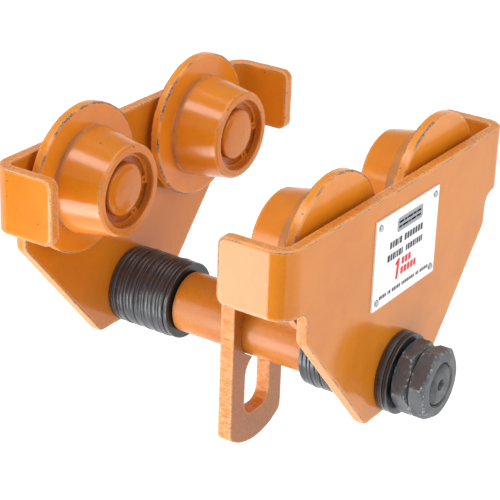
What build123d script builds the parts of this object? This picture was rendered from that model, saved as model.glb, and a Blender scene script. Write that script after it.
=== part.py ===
from build123d import *
import math
import os

# Plain push trolley that hangs from the lower flange of an I-beam. Millimetres.
# X runs across the beam, Y along it, Z up. The origin lies midway between the
# four wheels, at the height where the middle of each tread runs on the flange.

# Wheels and where they stand
WHEEL_SPACING = 119.4
TREAD_MID_RADIUS = 31.4
TREAD_BASE_RADIUS = 33.9
TREAD_END_RADIUS = 28.9
RIM_RADIUS = 47.7
RIM_ROUND = 0.9
WHEEL_Z = TREAD_MID_RADIUS
SHAFT_Z = WHEEL_Z - 96.0

# Side plates: pressed steel with both ends bent inwards as bumpers
PLATE_INNER_X = 96.5
PLATE_THICKNESS = 7.0
PLATE_OUTER_X = PLATE_INNER_X + PLATE_THICKNESS
PLATE_HALF_LENGTH = 127.0
PLATE_TOP = SHAFT_Z + 121.9
PLATE_BOTTOM = SHAFT_Z - 23.5
PLATE_WAIST_Z = SHAFT_Z + 60.5
PLATE_WAIST_HALF = 105.6
PLATE_FOOT_HALF = 33.2
TAB_BOTTOM = SHAFT_Z + 80.3
TAB_REACH = 45.9
TAB_CORNER = 6.0
BEND_RADIUS = 13.0
NOTCH_RADIUS = 9.0

# Suspension shaft: thick middle, threaded ends
SHAFT_RADIUS = 20.0
SHAFT_MID_HALF = 50.1
THREAD_RADIUS = 13.5
THREAD_CORE_RADIUS = 12.1
THREAD_PITCH = 3.0
SHAFT_HALF = 135.0
CENTRE_DRILL_RADIUS = 1.7
CENTRE_CONE_RADIUS = 3.6

# Washers and nuts on the shaft
WASHER_RADIUS = 25.6
WASHER_BORE_RADIUS = 14.0
WASHER_THICK = 3.2
WASHER_THIN = 2.0
WASHER_EDGE = 0.3
WASHER_FLOAT = 0.35
NUT_FLATS = 41.0
NUT_HEIGHT = (SHAFT_HALF - PLATE_OUTER_X - 2 * WASHER_THICK - WASHER_THIN) / 2
NUT_FACE_RADIUS = 19.6
NUT_MOUTH_RADIUS = 14.6
INNER_WASHERS = "TTtTTTtTTTTtTTtT"
OUTER_WASHERS = "TtT"

# Load plate: shaft bore that opens into a long slot for the hook or shackle
LOAD_THICKNESS = 10.0
LOAD_HALF_WIDTH = 29.0
LOAD_TOP = 40.0
LOAD_TOP_ROUND = 18.0
LOAD_BOTTOM = -82.0
LOAD_BOTTOM_CORNER = -72.5
LOAD_CORNER_ROUND = 7.0
LOAD_BORE_RADIUS = 20.8
SLOT_HALF_WIDTH = 14.0
SLOT_TOP = -19.0
SLOT_BOTTOM = -61.0
SLOT_BOTTOM_ROUND = 9.0

# Wheel stations along the axle, measured inwards from the plate's inner face
RIM_BACK = 5.0
RIM_FRONT = 11.5
GROOVE_END = 14.3
TREAD_END = 42.6
NOSE = 43.9
GROOVE_RADIUS = 32.4
HUB_BORE_RADIUS = 17.5
BEARING_BACK = 23.3
BEARING_WIDTH = 14.0
BEARING_FRONT = BEARING_BACK + BEARING_WIDTH

# Deep groove ball bearing, 20 x 47 x 14
BEARING_OUTER_RADIUS = 23.5
BEARING_BORE_RADIUS = 10.0
INNER_LAND_RADIUS = 14.2
OUTER_LAND_RADIUS = 19.3
BALL_RADIUS = 3.97
BALL_COUNT = 8
PITCH_RADIUS = 16.75
BALL_PLAY = 0.05
CAGE_HALF_WIDTH = 4.4
CAGE_RADII = (16.2, 17.3)
SHIELD_RADII = (14.6, 20.0)
SHIELD_THICKNESS = 0.5
SHIELD_INSET = 0.4

# Internal snap ring in front of the bearing
SNAP_THICKNESS = 1.75
SNAP_OUTER_RADIUS = 24.6
SNAP_INNER_RADIUS = 20.9
SNAP_GAP_ANGLE = 44.0
SNAP_EYE_RADIUS = 2.7
SNAP_EYE_HOLE = 1.1
SNAP_EYE_CENTRE = 20.4
SNAP_FACING = -30.0
SNAP_GROOVE_RADIUS = 24.9

# Axle pin and the spacer behind the bearing
PIN_RADIUS = 9.95
PIN_HEAD_RADIUS = 16.7
PIN_COLLAR_RADIUS = 13.4
PIN_COLLAR = 0.8
PIN_HEAD_RIM = 2.6
PIN_DOME = 2.0
SPACER_RADIUS = 13.5
SPACER_BORE_RADIUS = 10.05

# Nameplate
NAME_WIDTH = 74.0
NAME_HEIGHT = 57.0
NAME_THICKNESS = 0.9
NAME_Y = 1.0
NAME_Z = SHAFT_Z + 80.8
NAME_RIVET_INSET = 4.8
RIVET_HEAD_RADIUS = 2.3
RIVET_SHANK_RADIUS = 1.2

SIDES = {"left": -1, "right": 1}
ENDS = {"front": -1, "rear": 1}


def save(shape, name):
    """Write one sub-part to its own file."""
    shape.label = name
    export_step(shape, f"parts/{name}.step")


def turned(points, radii=None):
    """Solid of revolution about X from (x, radius) corners, some of them rounded."""
    outline = FilletPolyline(*points, radius=radii or [0] * len(points), close=True)
    return revolve(make_face(outline), Axis.X)


def tube(x_from, x_to, outer, inner=0.0):
    """Plain ring or disc about the X axis."""
    low, high = sorted((x_from, x_to))
    return turned([(low, inner), (high, inner), (high, outer), (low, outer)])


def side_plate():
    """Right-hand plate: a bent channel cut to the side outline."""
    inner_y = PLATE_HALF_LENGTH - PLATE_THICKNESS
    tab_x = PLATE_OUTER_X - TAB_REACH
    inner_bend = BEND_RADIUS - PLATE_THICKNESS
    bent = FilletPolyline(
        (tab_x, -PLATE_HALF_LENGTH),
        (PLATE_OUTER_X, -PLATE_HALF_LENGTH),
        (PLATE_OUTER_X, PLATE_HALF_LENGTH),
        (tab_x, PLATE_HALF_LENGTH),
        (tab_x, inner_y),
        (PLATE_INNER_X, inner_y),
        (PLATE_INNER_X, -inner_y),
        (tab_x, -inner_y),
        radius=[0, BEND_RADIUS, BEND_RADIUS, 0, 0, inner_bend, inner_bend, 0],
        close=True,
    )
    channel = extrude(Pos(0, 0, PLATE_BOTTOM) * make_face(bent), PLATE_TOP - PLATE_BOTTOM)
    half = [
        (PLATE_HALF_LENGTH + 1, PLATE_TOP, 0),
        (PLATE_HALF_LENGTH + 1, TAB_BOTTOM, 0),
        (PLATE_WAIST_HALF, TAB_BOTTOM, NOTCH_RADIUS),
        (PLATE_WAIST_HALF, PLATE_WAIST_Z, 8.0),
        (PLATE_FOOT_HALF, PLATE_BOTTOM, 8.0),
    ]
    corners = half + [(-y, z, r) for y, z, r in reversed(half)]
    outline = FilletPolyline(
        *[(y, z) for y, z, _ in corners], radius=[r for _, _, r in corners], close=True
    )
    cutter = extrude(Plane.YZ * make_face(outline), PLATE_OUTER_X + 1)
    plate = channel & cutter
    tab_ends = plate.edges().filter_by(Axis.Y).filter_by(lambda e: e.center().X < tab_x + 0.1)
    plate = fillet(tab_ends, TAB_CORNER)
    plate -= Pos(0, 0, SHAFT_Z) * tube(0, PLATE_OUTER_X + 1, THREAD_RADIUS + 0.4)
    for y in (-WHEEL_SPACING / 2, WHEEL_SPACING / 2):
        plate -= Pos(0, y, WHEEL_Z) * tube(0, PLATE_OUTER_X + 1, PIN_RADIUS)
    return soften(plate)


def soften(plate):
    """Break the long sharp edges of a side plate's two faces."""
    outer = plate.faces().filter_by(Axis.X).sort_by(Axis.X)[-1]
    inner = plate.faces().filter_by(Axis.X).sort_by(Axis.X)[-2]
    edges = ShapeList(outer.outer_wire().edges() + inner.outer_wire().edges())
    straight = edges.filter_by(lambda e: e.length > 12 and abs(e.center().Y) < PLATE_WAIST_HALF - 1)
    return chamfer(straight.filter_by(lambda e: e.center().Z < TAB_BOTTOM), 0.6)


def suspension_shaft():
    """Stepped shaft: smooth thick middle, plain shanks and grooved threads."""
    half = [
        (SHAFT_MID_HALF - 1.5, SHAFT_RADIUS),
        (SHAFT_MID_HALF, SHAFT_RADIUS - 1.5),
        (SHAFT_MID_HALF, THREAD_RADIUS),
    ]
    crest = PLATE_INNER_X + 2
    while crest + THREAD_PITCH < SHAFT_HALF - 2:
        half += [
            (crest, THREAD_RADIUS),
            (crest + THREAD_PITCH / 2, THREAD_CORE_RADIUS),
            (crest + THREAD_PITCH, THREAD_RADIUS),
        ]
        crest += THREAD_PITCH + 0.4
    half += [
        (SHAFT_HALF - 1.8, THREAD_RADIUS),
        (SHAFT_HALF, THREAD_RADIUS - 2.1),
        (SHAFT_HALF, CENTRE_CONE_RADIUS),
        (SHAFT_HALF - 3.2, CENTRE_DRILL_RADIUS),
        (SHAFT_HALF - 7.0, CENTRE_DRILL_RADIUS),
        (SHAFT_HALF - 8.0, 0),
    ]
    outline = [(-x, r) for x, r in reversed(half)] + half
    return Pos(0, 0, SHAFT_Z) * turned(outline)


def washer(x_from, thickness, turn):
    """One flat washer, hanging a little off centre on the shaft."""
    x_to = x_from + thickness
    ring = turned(
        [
            (x_from, WASHER_BORE_RADIUS),
            (x_to, WASHER_BORE_RADIUS),
            (x_to, WASHER_RADIUS - WASHER_EDGE),
            (x_to - WASHER_EDGE, WASHER_RADIUS),
            (x_from + WASHER_EDGE, WASHER_RADIUS),
            (x_from, WASHER_RADIUS - WASHER_EDGE),
        ]
    )
    shift = (0, WASHER_FLOAT * math.cos(turn), SHAFT_Z + WASHER_FLOAT * math.sin(turn))
    return Pos(*shift) * ring


def washer_stack(x_from, pattern):
    """Washers side by side from x_from, thick (T) and thin (t) ones mixed."""
    rings = []
    x = x_from
    for index, letter in enumerate(pattern):
        thickness = WASHER_THICK if letter == "T" else WASHER_THIN
        rings.append(washer(x, thickness, 2.4 * index))
        x += thickness
    return Compound(children=rings)


def nut(x_from, turn):
    """Thin hexagon nut, chamfered on both faces, turned by some degrees."""
    x_to = x_from + NUT_HEIGHT
    corner_radius = NUT_FLATS / 2 / math.cos(math.radians(30))
    slope = (corner_radius + 0.4 - NUT_FACE_RADIUS) * math.tan(math.radians(30))
    barrel = turned(
        [
            (x_from, NUT_MOUTH_RADIUS),
            (x_from + 1.2, THREAD_RADIUS + 0.05),
            (x_to - 1.2, THREAD_RADIUS + 0.05),
            (x_to, NUT_MOUTH_RADIUS),
            (x_to, NUT_FACE_RADIUS),
            (x_to - slope, corner_radius + 0.4),
            (x_from + slope, corner_radius + 0.4),
            (x_from, NUT_FACE_RADIUS),
        ]
    )
    hexagon = Plane.YZ.offset(x_from) * RegularPolygon(corner_radius, 6, rotation=turn)
    return Pos(0, 0, SHAFT_Z) * (barrel & extrude(hexagon, NUT_HEIGHT))


def load_plate():
    """Flame-cut plate that swings on the shaft; its lower edge is one wide arc."""
    right = FilletPolyline(
        (0, LOAD_TOP),
        (LOAD_HALF_WIDTH, LOAD_TOP),
        (LOAD_HALF_WIDTH, LOAD_BOTTOM_CORNER),
        radius=[LOAD_TOP_ROUND],
    )
    bottom = ThreePointArc(
        (LOAD_HALF_WIDTH, LOAD_BOTTOM_CORNER),
        (0, LOAD_BOTTOM),
        (-LOAD_HALF_WIDTH, LOAD_BOTTOM_CORNER),
    )
    left = mirror(right, Plane.YZ)
    face = make_face([right, bottom, left])
    low_corners = face.vertices().filter_by(lambda v: abs(v.Y - LOAD_BOTTOM_CORNER) < 0.01)
    face = fillet(low_corners, LOAD_CORNER_ROUND)
    slot = FilletPolyline(
        (-SLOT_HALF_WIDTH, SLOT_TOP),
        (SLOT_HALF_WIDTH, SLOT_TOP),
        (SLOT_HALF_WIDTH, SLOT_BOTTOM),
        (-SLOT_HALF_WIDTH, SLOT_BOTTOM),
        radius=[SLOT_HALF_WIDTH - 0.5] * 2 + [SLOT_BOTTOM_ROUND] * 2,
        close=True,
    )
    face -= make_face(slot)
    face -= Circle(LOAD_BORE_RADIUS)
    plate = extrude(Plane.YZ.offset(-LOAD_THICKNESS / 2) * face, LOAD_THICKNESS)
    rims = plate.faces().filter_by(Axis.X)
    edges = rims[0].outer_wire().edges() + rims[1].outer_wire().edges()
    return Pos(0, 0, SHAFT_Z) * chamfer(edges, 0.5)


def wheel():
    """Flanged wheel with a tapered tread, a rim groove and a stepped bore."""
    snap_back = BEARING_FRONT
    snap_front = snap_back + SNAP_THICKNESS + 0.1
    corners = [
        (RIM_BACK, HUB_BORE_RADIUS, 0),
        (RIM_BACK, RIM_RADIUS, RIM_ROUND),
        (RIM_FRONT, RIM_RADIUS, RIM_ROUND),
        (RIM_FRONT, GROOVE_RADIUS, 0.8),
        (GROOVE_END - 0.9, GROOVE_RADIUS, 0.5),
        (GROOVE_END, TREAD_BASE_RADIUS, 0.4),
        (TREAD_END, TREAD_END_RADIUS, 0.4),
        (NOSE, TREAD_END_RADIUS - 1.5, 0.3),
        (NOSE, BEARING_OUTER_RADIUS + 0.5, 0),
        (NOSE - 0.5, BEARING_OUTER_RADIUS, 0),
        (snap_front, BEARING_OUTER_RADIUS, 0),
        (snap_front, SNAP_GROOVE_RADIUS, 0),
        (snap_back, SNAP_GROOVE_RADIUS, 0),
        (snap_back, BEARING_OUTER_RADIUS, 0),
        (BEARING_BACK, BEARING_OUTER_RADIUS, 0),
        (BEARING_BACK, HUB_BORE_RADIUS, 0),
    ]
    return turned([(x, r) for x, r, _ in corners], [round_ for _, _, round_ in corners])


def ball_track():
    """The ring-shaped space that the balls run in."""
    middle = BEARING_BACK + BEARING_WIDTH / 2
    return Pos(middle, 0, 0) * Rot(0, 90, 0) * Torus(PITCH_RADIUS, BALL_RADIUS + BALL_PLAY)


def bearing_outer():
    """Outer race with its track and a recess for each shield."""
    depth = SHIELD_INSET + SHIELD_THICKNESS
    recess_radius = SHIELD_RADII[1]
    race = turned(
        [
            (BEARING_BACK, recess_radius),
            (BEARING_BACK + depth, recess_radius),
            (BEARING_BACK + depth, OUTER_LAND_RADIUS),
            (BEARING_FRONT - depth, OUTER_LAND_RADIUS),
            (BEARING_FRONT - depth, recess_radius),
            (BEARING_FRONT, recess_radius),
            (BEARING_FRONT, BEARING_OUTER_RADIUS - 0.8),
            (BEARING_FRONT - 0.8, BEARING_OUTER_RADIUS),
            (BEARING_BACK + 0.8, BEARING_OUTER_RADIUS),
            (BEARING_BACK, BEARING_OUTER_RADIUS - 0.8),
        ]
    )
    return race - ball_track()


def bearing_inner():
    """Inner race, clamped between the pin's head and the spacer."""
    return tube(BEARING_BACK, BEARING_FRONT, INNER_LAND_RADIUS, BEARING_BORE_RADIUS) - ball_track()


def ball_centres():
    """Angles of the balls round the axle, in degrees."""
    return [360 / BALL_COUNT * index for index in range(BALL_COUNT)]


def bearing_balls():
    """All the balls of one bearing, evenly spaced."""
    middle = BEARING_BACK + BEARING_WIDTH / 2
    balls = [
        Rot(angle, 0, 0) * Pos(middle, PITCH_RADIUS, 0) * Sphere(BALL_RADIUS)
        for angle in ball_centres()
    ]
    return Compound(children=balls)


def bearing_cage():
    """Cage ring with a round pocket for each ball."""
    middle = BEARING_BACK + BEARING_WIDTH / 2
    low, high = CAGE_RADII
    ring = tube(middle - CAGE_HALF_WIDTH, middle + CAGE_HALF_WIDTH, high, low)
    pocket = Pos(middle, PITCH_RADIUS, 0) * Rot(90, 0, 0) * Cylinder(BALL_RADIUS + 0.1, 6)
    for angle in ball_centres():
        ring -= Rot(angle, 0, 0) * pocket
    return ring


def bearing_shields():
    """Two thin steel shields that close the bearing."""
    low, high = SHIELD_RADII
    first = BEARING_BACK + SHIELD_INSET
    second = BEARING_FRONT - SHIELD_INSET - SHIELD_THICKNESS
    rings = [tube(x, x + SHIELD_THICKNESS, high, low) for x in (first, second)]
    return Compound(children=rings)


def snap_ring():
    """Internal snap ring: an open ring with a plier eye at each end."""
    back = BEARING_FRONT + 0.05
    half_gap = math.radians(SNAP_GAP_ANGLE / 2)
    far = 2 * SNAP_OUTER_RADIUS
    gap = Polyline(
        (0, 0),
        (far, -far * math.tan(half_gap)),
        (far, far * math.tan(half_gap)),
        close=True,
    )
    face = Circle(SNAP_OUTER_RADIUS) - Pos(0.6, 0) * Circle(SNAP_INNER_RADIUS) - make_face(gap)
    eye_angle = half_gap + SNAP_EYE_RADIUS / SNAP_EYE_CENTRE
    for sign in (-1, 1):
        y = SNAP_EYE_CENTRE * math.cos(eye_angle)
        z = SNAP_EYE_CENTRE * math.sin(eye_angle) * sign
        face += Pos(y, z) * Circle(SNAP_EYE_RADIUS)
        face -= Pos(y, z) * Circle(SNAP_EYE_HOLE)
    flat = Plane.YZ.offset(back) * (Rot(0, 0, SNAP_FACING) * face)
    return extrude(flat, SNAP_THICKNESS - 0.05)


def axle_pin():
    """Headed pin: domed head over the bearing, shank flush with the plate's outside."""
    head = BEARING_FRONT + PIN_COLLAR
    rim = head + PIN_HEAD_RIM
    return turned(
        [
            (-PLATE_THICKNESS, 0),
            (-PLATE_THICKNESS, PIN_RADIUS),
            (BEARING_FRONT, PIN_RADIUS),
            (BEARING_FRONT, PIN_COLLAR_RADIUS),
            (head, PIN_COLLAR_RADIUS),
            (head, PIN_HEAD_RADIUS),
            (rim, PIN_HEAD_RADIUS),
            (rim + 0.7 * PIN_DOME, 0.78 * PIN_HEAD_RADIUS),
            (rim + PIN_DOME, 0.3 * PIN_HEAD_RADIUS),
            (rim + PIN_DOME, 0),
        ],
        [0, 0, 0, 0, 0, 0.3, 1.6, 10.0, 3.0, 0],
    )


def axle_spacer():
    """Sleeve between the plate and the bearing's inner race."""
    return tube(0, BEARING_BACK, SPACER_RADIUS, SPACER_BORE_RADIUS)


def nameplate():
    """Thin sheet riveted to the right-hand plate's outside."""
    sheet = Box(NAME_THICKNESS, NAME_WIDTH, NAME_HEIGHT)
    sheet = fillet(sheet.edges().filter_by(Axis.X), 0.8)
    plate = Pos(PLATE_OUTER_X + NAME_THICKNESS / 2, NAME_Y, NAME_Z) * sheet
    for y, z in rivet_places():
        plate -= Pos(0, y, z) * tube(PLATE_OUTER_X - 1, PLATE_OUTER_X + 5, RIVET_SHANK_RADIUS)
    return plate


def rivet_places():
    """Centres of the four rivets in the nameplate's corners."""
    reach_y = NAME_WIDTH / 2 - NAME_RIVET_INSET
    reach_z = NAME_HEIGHT / 2 - NAME_RIVET_INSET
    return [(NAME_Y + a * reach_y, NAME_Z + b * reach_z) for a in (-1, 1) for b in (-1, 1)]


def nameplate_rivets():
    """Four drive rivets, each with a low domed head."""
    under = PLATE_OUTER_X + NAME_THICKNESS
    rivet = turned(
        [
            (PLATE_OUTER_X - 4, 0),
            (PLATE_OUTER_X - 4, RIVET_SHANK_RADIUS),
            (under, RIVET_SHANK_RADIUS),
            (under, RIVET_HEAD_RADIUS),
            (under + 1.1, RIVET_HEAD_RADIUS - 0.6),
            (under + 1.4, 0),
        ],
        [0, 0, 0, 0, 0.8, 0],
    )
    return Compound(children=[Pos(0, y, z) * rivet for y, z in rivet_places()])


def at_wheel(shape, side, end):
    """Move a piece drawn along +X from the plate's inner face to its wheel station."""
    turned_in = Rot(0, 180, 0) * shape if side > 0 else shape
    return Pos(side * PLATE_INNER_X, end * WHEEL_SPACING / 2, WHEEL_Z) * turned_in


os.makedirs("parts", exist_ok=True)

right_plate = side_plate()
left_plate = mirror(right_plate, Plane.YZ)
rivet_hole = tube(PLATE_OUTER_X - 4.5, PLATE_OUTER_X + 1, RIVET_SHANK_RADIUS)
for hole_y, hole_z in rivet_places():
    right_plate -= Pos(0, hole_y, hole_z) * rivet_hole

save(left_plate, "left_side_plate")
save(right_plate, "right_side_plate")
save(suspension_shaft(), "suspension_shaft")
save(load_plate(), "load_plate")
save(nameplate(), "nameplate")
save(nameplate_rivets(), "nameplate_rivets")

nut_turns = {("left", "inner"): 20, ("left", "outer"): 51, ("right", "inner"): 6.5, ("right", "outer"): 47.5}
for side_name, side_sign in SIDES.items():
    inner_stack = washer_stack(SHAFT_MID_HALF, INNER_WASHERS)
    outer_stack = washer_stack(PLATE_OUTER_X, OUTER_WASHERS)
    inner_nut_x = SHAFT_HALF - 2 * NUT_HEIGHT
    outer_nut_x = SHAFT_HALF - NUT_HEIGHT
    pieces = {
        "inner_washers": inner_stack,
        "outer_washers": outer_stack,
        "inner_nut": nut(inner_nut_x, nut_turns[side_name, "inner"]),
        "outer_nut": nut(outer_nut_x, nut_turns[side_name, "outer"]),
    }
    for piece_name, piece in pieces.items():
        placed = piece if side_sign > 0 else mirror(piece, Plane.YZ)
        save(placed, f"{side_name}_{piece_name}")

wheel_pieces = {
    "wheel": wheel(),
    "bearing_outer_race": bearing_outer(),
    "bearing_inner_race": bearing_inner(),
    "bearing_balls": bearing_balls(),
    "bearing_cage": bearing_cage(),
    "bearing_shields": bearing_shields(),
    "snap_ring": snap_ring(),
    "axle_pin": axle_pin(),
    "axle_spacer": axle_spacer(),
}
for side_name, side_sign in SIDES.items():
    for end_name, end_sign in ENDS.items():
        for piece_name, piece in wheel_pieces.items():
            save(at_wheel(piece, side_sign, end_sign), f"{side_name}_{end_name}_{piece_name}")
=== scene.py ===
import math
import random

import bmesh
import bpy
from mathutils import Matrix, Vector, noise


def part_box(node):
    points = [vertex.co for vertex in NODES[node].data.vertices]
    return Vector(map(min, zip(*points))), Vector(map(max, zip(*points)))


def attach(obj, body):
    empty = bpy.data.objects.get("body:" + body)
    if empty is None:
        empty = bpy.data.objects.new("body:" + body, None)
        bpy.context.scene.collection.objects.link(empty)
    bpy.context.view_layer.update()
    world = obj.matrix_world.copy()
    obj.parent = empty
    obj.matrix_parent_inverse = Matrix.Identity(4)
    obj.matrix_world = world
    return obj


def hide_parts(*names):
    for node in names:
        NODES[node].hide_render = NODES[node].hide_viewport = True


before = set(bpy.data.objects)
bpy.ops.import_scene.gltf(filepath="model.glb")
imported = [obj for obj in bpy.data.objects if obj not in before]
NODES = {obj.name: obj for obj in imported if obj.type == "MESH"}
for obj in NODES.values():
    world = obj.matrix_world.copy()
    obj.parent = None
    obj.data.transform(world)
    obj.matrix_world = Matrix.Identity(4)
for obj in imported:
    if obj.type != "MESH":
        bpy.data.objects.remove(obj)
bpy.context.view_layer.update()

# Shapes are worked out in millimetres, and become metres when their vertices are made.
MM = 0.001
SIDES = {"left": -1, "right": 1}
ENDS = {"front": -1, "rear": 1}

# ------------------------------------------------------------------ positions read from the frame
plate_low, plate_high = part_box("right_side_plate")
shaft_low, shaft_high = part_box("suspension_shaft")
wheel_low, wheel_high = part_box("right_front_wheel")
name_low, name_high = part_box("nameplate")
SHAFT_Z = (shaft_low.z + shaft_high.z) / 2
SHAFT_MM = SHAFT_Z / MM
SHAFT_HALF = shaft_high.x / MM
WHEEL_Z = (wheel_low.z + wheel_high.z) / 2
WHEEL_Y = -(wheel_low.y + wheel_high.y) / 2
PLATE_THICKNESS = 7.0
PLATE_OUTER = plate_high.x
PLATE_INNER = PLATE_OUTER - PLATE_THICKNESS * MM


# ------------------------------------------------------------------ small node language
class Graph:
    """A material's node tree, with one short call per kind of node. Lengths are in millimetres."""

    def __init__(self, name):
        self.mat = bpy.data.materials.new(name)
        self.mat.use_nodes = True
        self.tree = self.mat.node_tree
        self.tree.nodes.clear()
        self.out = self.node("ShaderNodeOutputMaterial")
        self.bsdf = self.node("ShaderNodeBsdfPrincipled")
        self.tree.links.new(self.bsdf.outputs[0], self.out.inputs[0])
        coord = self.node("ShaderNodeTexCoord")
        scale = self.node("ShaderNodeVectorMath", operation="SCALE")
        self.tree.links.new(coord.outputs["Object"], scale.inputs[0])
        scale.inputs["Scale"].default_value = 1 / MM
        self.mm = scale.outputs[0]

    def node(self, kind, **settings):
        made = self.tree.nodes.new(kind)
        for key, value in settings.items():
            setattr(made, key, value)
        return made

    def put(self, socket, value):
        if isinstance(value, bpy.types.NodeSocket):
            self.tree.links.new(value, socket)
        elif value is not None:
            socket.default_value = value

    def set(self, name, value):
        self.put(self.bsdf.inputs[name], value)

    def stretch(self, factors):
        """Coordinates scaled on each axis: a small factor draws a pattern out along that axis."""
        made = self.node("ShaderNodeVectorMath", operation="MULTIPLY")
        self.put(made.inputs[0], self.mm)
        made.inputs[1].default_value = factors
        return made.outputs[0]

    def noise(self, size, detail=3.0, rough=0.5, vector=None, warp=0.0):
        made = self.node("ShaderNodeTexNoise")
        self.put(made.inputs["Vector"], vector or self.mm)
        made.inputs["Scale"].default_value = 1 / size
        made.inputs["Detail"].default_value = detail
        made.inputs["Roughness"].default_value = rough
        made.inputs["Distortion"].default_value = warp
        return made.outputs["Fac"]

    def cells(self, size):
        made = self.node("ShaderNodeTexVoronoi")
        self.put(made.inputs["Vector"], self.mm)
        made.inputs["Scale"].default_value = 1 / size
        return made

    def range(self, value, low, high, to_low=0.0, to_high=1.0):
        made = self.node("ShaderNodeMapRange", interpolation_type="SMOOTHSTEP")
        self.put(made.inputs["Value"], value)
        limits = {"From Min": low, "From Max": high, "To Min": to_low, "To Max": to_high}
        for key, number in limits.items():
            made.inputs[key].default_value = number
        return made.outputs["Result"]

    def math(self, operation, a, b=None, clamp=False):
        made = self.node("ShaderNodeMath", operation=operation, use_clamp=clamp)
        self.put(made.inputs[0], a)
        self.put(made.inputs[1], b)
        return made.outputs[0]

    def mix(self, fac, a, b):
        """Colour a turning into b."""
        made = self.node("ShaderNodeMix", data_type="RGBA")
        self.put(made.inputs["Factor"], fac)
        self.put(made.inputs[6], a)
        self.put(made.inputs[7], b)
        return made.outputs[2]

    def blend(self, fac, a, b):
        """Number a turning into b."""
        made = self.node("ShaderNodeMix", data_type="FLOAT")
        self.put(made.inputs["Factor"], fac)
        self.put(made.inputs[2], a)
        self.put(made.inputs[3], b)
        return made.outputs[0]

    def bump(self, height, depth, normal=None):
        made = self.node("ShaderNodeBump")
        made.inputs["Strength"].default_value = 1.0
        made.inputs["Distance"].default_value = depth * MM
        self.put(made.inputs["Height"], height)
        self.put(made.inputs["Normal"], normal)
        return made.outputs[0]

    def edge(self, radius):
        """1 on sharp edges and where the mesh's wear attribute is 1, 0 on flat surface."""
        bevel = self.node("ShaderNodeBevel", samples=4)
        bevel.inputs["Radius"].default_value = radius * MM
        geometry = self.node("ShaderNodeNewGeometry")
        agree = self.node("ShaderNodeVectorMath", operation="DOT_PRODUCT")
        self.put(agree.inputs[0], bevel.outputs[0])
        self.put(agree.inputs[1], geometry.outputs["Normal"])
        sharp = self.range(agree.outputs["Value"], 0.99, 0.86)
        worn = self.node("ShaderNodeAttribute", attribute_name="wear")
        return self.math("MAXIMUM", sharp, worn.outputs["Fac"], clamp=True)


def rgb(red, green, blue):
    return (red, green, blue, 1.0)


def scaled(colour, factor, lift=0.0):
    """A colour made darker or lighter."""
    return rgb(*(factor * part + lift for part in colour[:3]))


# Orange enamel: the usual tone and a deeper one, for each kind of part
ENAMEL = rgb(0.70, 0.222, 0.012)
ENAMEL_DEEP = rgb(0.61, 0.178, 0.009)
ENAMEL_THIN = rgb(0.76, 0.275, 0.028)
PLATE_ENAMEL = (ENAMEL, ENAMEL_DEEP)
WHEEL_ENAMEL = (rgb(0.85, 0.278, 0.015), rgb(0.76, 0.235, 0.012))
TREAD_ENAMEL = (rgb(0.72, 0.222, 0.012), rgb(0.63, 0.182, 0.009))
BAND_ENAMEL = (rgb(0.60, 0.215, 0.03), rgb(0.30, 0.15, 0.07))
# A darker orange for the wheel bore and the bearing parts seen in it: painted shade in the recess
BORE_SHADED_ENAMEL = (ENAMEL_DEEP, rgb(0.42, 0.10, 0.008))
SHAFT_ENAMEL = (rgb(0.55, 0.168, 0.010), rgb(0.48, 0.138, 0.008))
# The load plate's enamel is a much darker copy of the orange: painted shade
LOAD_SHADED_ENAMEL = (rgb(0.36, 0.110, 0.014), rgb(0.29, 0.082, 0.009))
# Pale orange that enamel edges and rounded corners are mixed towards: a painted highlight
EDGE_HIGHLIGHT_PAINT = rgb(0.86, 0.40, 0.15)
# Pale orange for the rounded edges of flame-cut walls: a painted highlight
CUT_EDGE_HIGHLIGHT_PAINT = rgb(0.88, 0.44, 0.18)
CUT_CREST = rgb(0.80, 0.33, 0.10)
HALO_BROWN = rgb(0.40, 0.12, 0.02)
WORN_BROWN = rgb(0.36, 0.16, 0.07)
SPECK_BROWN = rgb(0.10, 0.06, 0.035)
BARE = rgb(0.42, 0.40, 0.38)
CHIP = rgb(0.17, 0.17, 0.18)
CHIP_DARK = rgb(0.045, 0.04, 0.038)


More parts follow.
